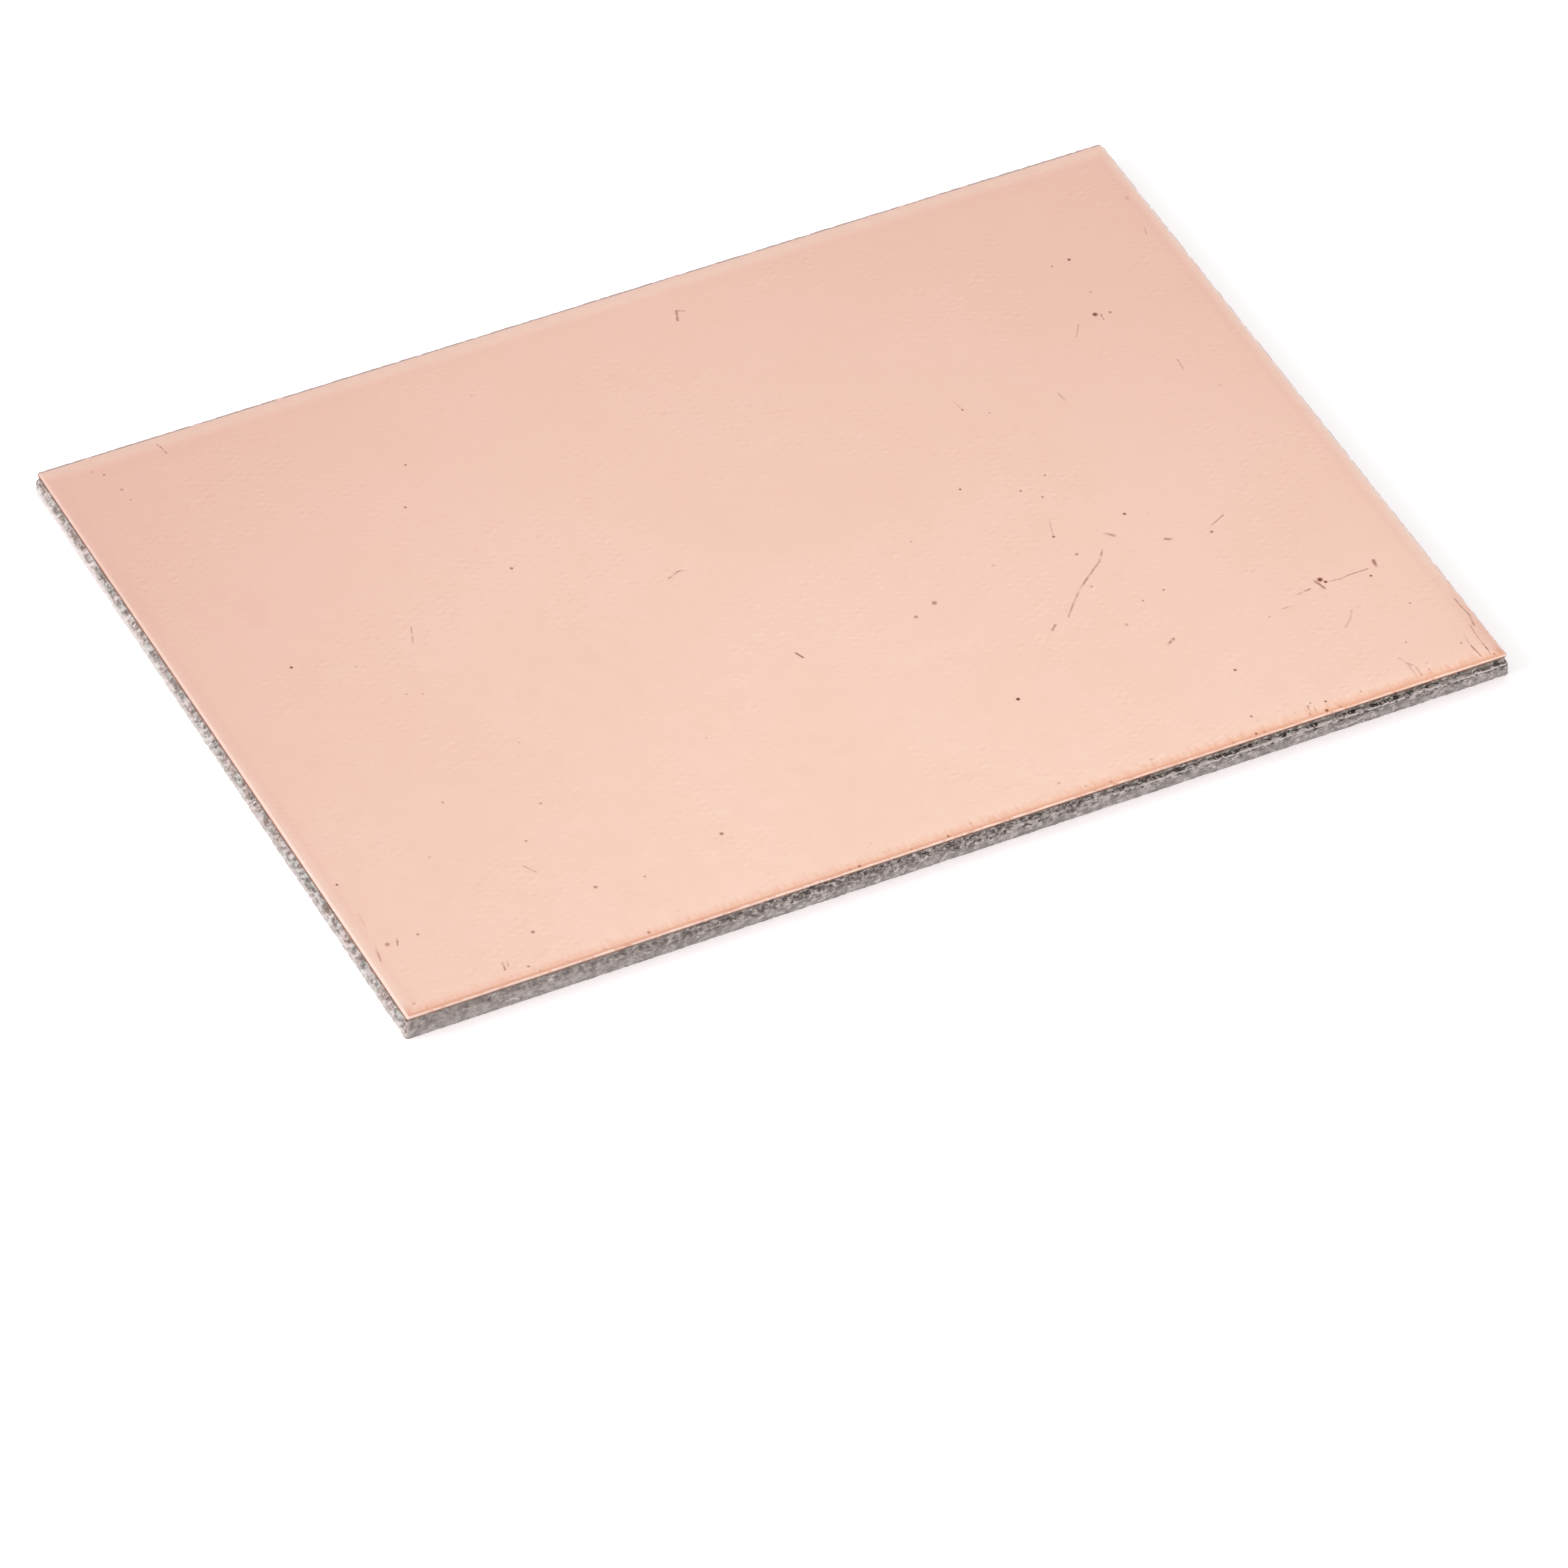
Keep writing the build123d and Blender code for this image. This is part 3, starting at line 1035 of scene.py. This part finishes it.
def cut_resin(tree, x, level, masks, mottle, fine):
    """The resin of the cut: smoother towards the left, with a paler land below, and above it
    the torn band with its pits, darkened with painted shade, and a painted highlight along the ledge's
    shoulder."""
    grey = times_plus(tree, mottle, 0.62, times(tree, fine, 0.38))
    lower = fade(tree, level, 0.9, 0.4)
    rough_share = fade(tree, x, *ROUGH_STARTS)
    calm = blend(tree, fade(tree, grey, 0.4, 0.6), *CALM_CUT)
    harsh = blend(tree, fade(tree, grey, 0.42, 0.61), *HARSH_CUT)
    land = blend(tree, fade(tree, grey, 0.38, 0.62), *LAND)
    colour = blend(tree, rough_share, calm, harsh)
    colour = blend(tree, times(tree, lower, 0.85), colour, land)

    ripped = blend(tree, fade(tree, grey, 0.42, 0.58), *TORN)
    ripped = blend(tree, masks["corner"], ripped, TORN_CORNER)
    colour = blend(tree, masks["torn"], colour, ripped)
    # The pits are painted dark: shade in their hollows, over the darker torn glass.
    colour = blend(tree, times(tree, masks["small_pits"], 0.92), colour, SMALL_PIT_SHADE)
    colour = blend(tree, times(tree, masks["long_pits"], 0.95), colour, LONG_PIT_SHADE)
    # Painted highlight: a pale wavering line along the ledge's shoulder, where it faces up.
    from_lip = maths(tree, "ABSOLUTE", minus(tree, level, LEDGE_HEIGHT - 0.02))
    ledge_highlight = times(tree, fade(tree, from_lip, 0.07, 0.03), fade(tree, mottle, 0.34, 0.46))
    ledge_highlight = times(tree, ledge_highlight, times_plus(tree, fade(tree, x, -4, 18), 0.7, 0.15))
    colour = blend(tree, ledge_highlight, colour, LEDGE_HIGHLIGHT)
    fleck = times(tree, fade(tree, fine, 0.58, 0.66), times(tree, rough_share, 0.75))
    return blend(tree, fleck, colour, FLECK)


def bare_strands(tree, place, y, level, masks, fine):
    """The strands of the left side: brown, pink and white, pale at the foot of the cut."""
    tint = cloud(tree, vector(tree, "ADD", place, (9, 3, 40)), 0.9)
    slanting = times_plus(tree, fine, 0.3, times(tree, masks["strand"], 0.7))
    dark = blend(tree, fade(tree, tint, 0.42, 0.58), *DARK_STRANDS)
    pale = blend(tree, fade(tree, tint, 0.4, 0.6), *PALE_STRANDS)
    colour = blend(tree, fade(tree, slanting, 0.41, 0.62), dark, pale)
    foot = times_plus(tree, fade(tree, y, -5, 20), 0.4, 0.45)
    foot = times(tree, fade(tree, level, 0.7, 0.15), foot)
    colour = blend(tree, foot, colour, STRAND_FOOT)
    return blend(tree, times(tree, fade(tree, level, 0.85, 1.3), 0.7), colour, STRAND_HEAD)


def add_wisps(tree, colour, x, level, on_front):
    """The single pale wisps of glass, laid over the front cut."""
    front_place = node(tree, "ShaderNodeCombineXYZ", {"X": x, "Y": level}).outputs[0]
    for corners, width in WISPS:
        points = [Vector((along, height, 0)) for along, height in corners]
        for start, end in zip(points, points[1:]):
            wisp = times(tree, stroke(tree, front_place, start, end, width), on_front)
            colour = blend(tree, times(tree, wisp, 0.8), colour, BARE_GLASS)
    return colour


def cut_edge_material():
    """Sheared glass and resin: mottled grey, with pale flecks and strands, dark pits and painted shade
    under the rim.
    """
    material, tree, shader, point = new_material("cut_laminate_edge")
    x, y, _ = split(tree, point)
    level = node(tree, "ShaderNodeAttribute", attribute_name="level").outputs["Fac"]
    place = node(tree, "ShaderNodeCombineXYZ", {"X": x, "Y": y, "Z": level}).outputs[0]
    masks = cut_masks(tree, place)
    flattened = stretched(tree, place, (1, 1, 1.4))
    mottle = cloud(tree, flattened, 2.3, detail=3, roughness=0.65)
    fine = cloud(tree, vector(tree, "ADD", flattened, (31, 17, 5)), 3.2, roughness=0.6)

    from_left = minus(tree, x, core_low.x)
    from_front = minus(tree, y, core_low.y)
    left_side = fade(tree, minus(tree, from_left, from_front), 0.02, -0.02)
    left_side = times(tree, left_side, fade(tree, from_left, *SIDE_FACE))
    on_front = fade(tree, from_front, *SIDE_FACE)
    colour = cut_resin(tree, x, level, masks, mottle, fine)
    strands = bare_strands(tree, place, y, level, masks, fine)
    colour = blend(tree, left_side, colour, strands)
    pale = times(tree, fade(tree, masks["strand"], 0.38, 0.31), fade(tree, fine, 0.42, 0.55))
    colour = blend(tree, times(tree, pale, 0.85), colour, BARE_GLASS)
    colour = add_wisps(tree, colour, x, level, on_front)

    # A thin brown line of painted shade lies under the rim's overhang, and on the left side a broader,
    # darker band of painted shade below the rim.
    under_rim_shade = fade(tree, level, rim_height - 0.22, rim_height - 0.1)
    under_rim_shade = times(tree, under_rim_shade, fade(tree, fine, 0.25, 0.5))
    colour = blend(tree, times(tree, under_rim_shade, 0.75), colour, UNDER_RIM_SHADE)
    left_under_rim_shade = fade(tree, level, rim_height - 0.3, rim_height - 0.16)
    left_under_rim_shade = times(tree, left_under_rim_shade, left_side)
    colour = blend(tree, times(tree, left_under_rim_shade, 0.8), colour, LEFT_UNDER_RIM_SHADE)
    tree.links.new(colour, shader.inputs["Base Color"])
    shader.inputs["Roughness"].default_value = 0.7
    add_bump(tree, shader, times(tree, fine, CUT_GRAIN))
    return material


# The underside: the weave's two shades, and its specks.
PRESSED = ((0.44, 0.41, 0.36), (0.58, 0.55, 0.49))
PRESSED_SPECK = (0.2, 0.17, 0.14)


def pressed_face_material():
    """The bare underside, pressed smooth, with the weave just under the resin."""
    material, tree, shader, point = new_material("pressed_underside")
    weave = {"Point": point, "Warp Pitch": 0.6, "Weft Pitch": 0.53, "Wobble": 0.5}
    weave = placed(tree, groups["glass_weave"], weave)
    specks = {"Point": point, "Spacing": 2.6, "Size": 0.12, "Share": 0.3}
    specks = placed(tree, groups["speckle"], specks)
    colour = blend(tree, times(tree, specks, 0.4), blend(tree, weave, *PRESSED), PRESSED_SPECK)
    tree.links.new(colour, shader.inputs["Base Color"])
    shader.inputs["Roughness"].default_value = 0.42
    add_bump(tree, shader, times(tree, weave, PRESSED_WEAVE))
    return material


groups = {"glass_weave": glass_weave_group(), "speckle": speckle_group()}


# The photograph's camera: a long lens, looking down on the board from its front left.
CAMERA_PLACE = Vector((-0.2369, -0.4421, 0.4591))
CAMERA_LOOK = Vector((0.34469, 0.63899, -0.68767))
CAMERA_ROLL = math.radians(2.22)
LENS = 271
SENSOR = 36
CLIP = (0.01, 20)

# The staged floor: its size in metres, and how much light of its own the camera sees on it.
FLOOR_SIZE = 8
FLOOR_GLOW = 0.3


def place_camera():
    """Puts the camera where the photograph's was."""
    data = bpy.data.cameras.new("camera")
    data.lens = LENS
    data.sensor_width = SENSOR
    data.clip_start, data.clip_end = CLIP
    camera = bpy.data.objects.new("camera", data)
    bpy.context.scene.collection.objects.link(camera)
    turn = CAMERA_LOOK.to_track_quat("-Z", "Y").to_matrix().to_4x4()
    roll = Matrix.Rotation(CAMERA_ROLL, 4, "Z")
    camera.matrix_world = Matrix.Translation(CAMERA_PLACE) @ turn @ roll
    bpy.context.scene.camera = camera


def soft_lamp(name, place, aim, size, colour):
    """A soft panel of light. Its colour is compared with the white of the picture."""
    data = bpy.data.lights.new(name, "AREA")
    data.shape = "RECTANGLE"
    data.size, data.size_y = size
    data.energy = max(colour) * math.pi * data.size * data.size_y
    data.color = [value / max(colour) for value in colour]
    lamp = bpy.data.objects.new(name, data)
    bpy.context.scene.collection.objects.link(lamp)
    place = Vector(place)
    turn = (Vector(aim) - place).to_track_quat("-Z", "Y").to_matrix().to_4x4()
    lamp.matrix_world = Matrix.Translation(place) @ turn


# The tent's colour by height: 0 at the floor's level, 1 overhead.
TENT = (
    (0.02, (0.78, 0.71, 0.72)),
    (0.45, (0.78, 0.71, 0.72)),
    (0.90, (0.86, 0.76, 0.76)),
)


def light_studio():
    """A white tent that is brighter overhead than low down, and two soft lamps."""
    world = bpy.data.worlds.new("studio")
    bpy.context.scene.world = world
    world.use_nodes = True
    tree = world.node_tree
    upward = split(tree, node(tree, "ShaderNodeTexCoord").outputs["Generated"])["Z"]
    tent = node(tree, "ShaderNodeValToRGB", {"Fac": upward})
    ramp = tent.color_ramp
    for place, colour in TENT:
        stop = ramp.elements.new(place)
        stop.color = (*colour, 1)
    ramp.elements.remove(ramp.elements[-1])
    ramp.elements.remove(ramp.elements[0])
    tree.links.new(tent.outputs["Color"], tree.nodes["Background"].inputs["Color"])
    soft_lamp("back_softbox", (0.10, 0.08, 0.18), (0, -0.025, 0), (0.20, 0.10), (0.42, 0.78, 0.78))
    soft_lamp("left_softbox", (-0.35, 0.05, 0.16), (0, 0, 0), (0.25, 0.25), (4.3, 4.1, 4.0))


def pale_floor():
    """The white ground that the board lies on, which isn't part of it."""
    bpy.ops.object.select_all(action="DESELECT")
    bpy.ops.mesh.primitive_plane_add(size=FLOOR_SIZE, location=(0, 0, 0))
    floor = bpy.context.object
    floor.name = "floor"
    material = bpy.data.materials.new("pale_floor")
    material.use_nodes = True
    tree = material.node_tree
    shader = tree.nodes["Principled BSDF"]
    shader.inputs["Base Color"].default_value = (0.85, 0.85, 0.85, 1)
    shader.inputs["Roughness"].default_value = 1
    shader.inputs["Specular IOR Level"].default_value = 0
    rays = node(tree, "ShaderNodeLightPath").outputs
    seen = maths(
        tree,
        "ADD",
        maths(tree, "ADD", rays["Is Camera Ray"], rays["Is Glossy Ray"]),
        rays["Is Transmission Ray"],
        clamp=True,
    )
    glow = node(tree, "ShaderNodeEmission", {"Strength": FLOOR_GLOW})
    nothing = node(tree, "ShaderNodeEmission", {"Strength": 0.0})
    lift = node(tree, "ShaderNodeMixShader", {0: seen, 1: nothing.outputs[0], 2: glow.outputs[0]})
    both = node(tree, "ShaderNodeAddShader", {0: shader.outputs[0], 1: lift.outputs[0]})
    tree.links.new(both.outputs[0], tree.nodes["Material Output"].inputs["Surface"])
    floor.data.materials.append(material)


place_camera()
light_studio()
pale_floor()
cut_laminate()
rolled_foil()
bpy.context.scene.view_settings.view_transform = "Standard"
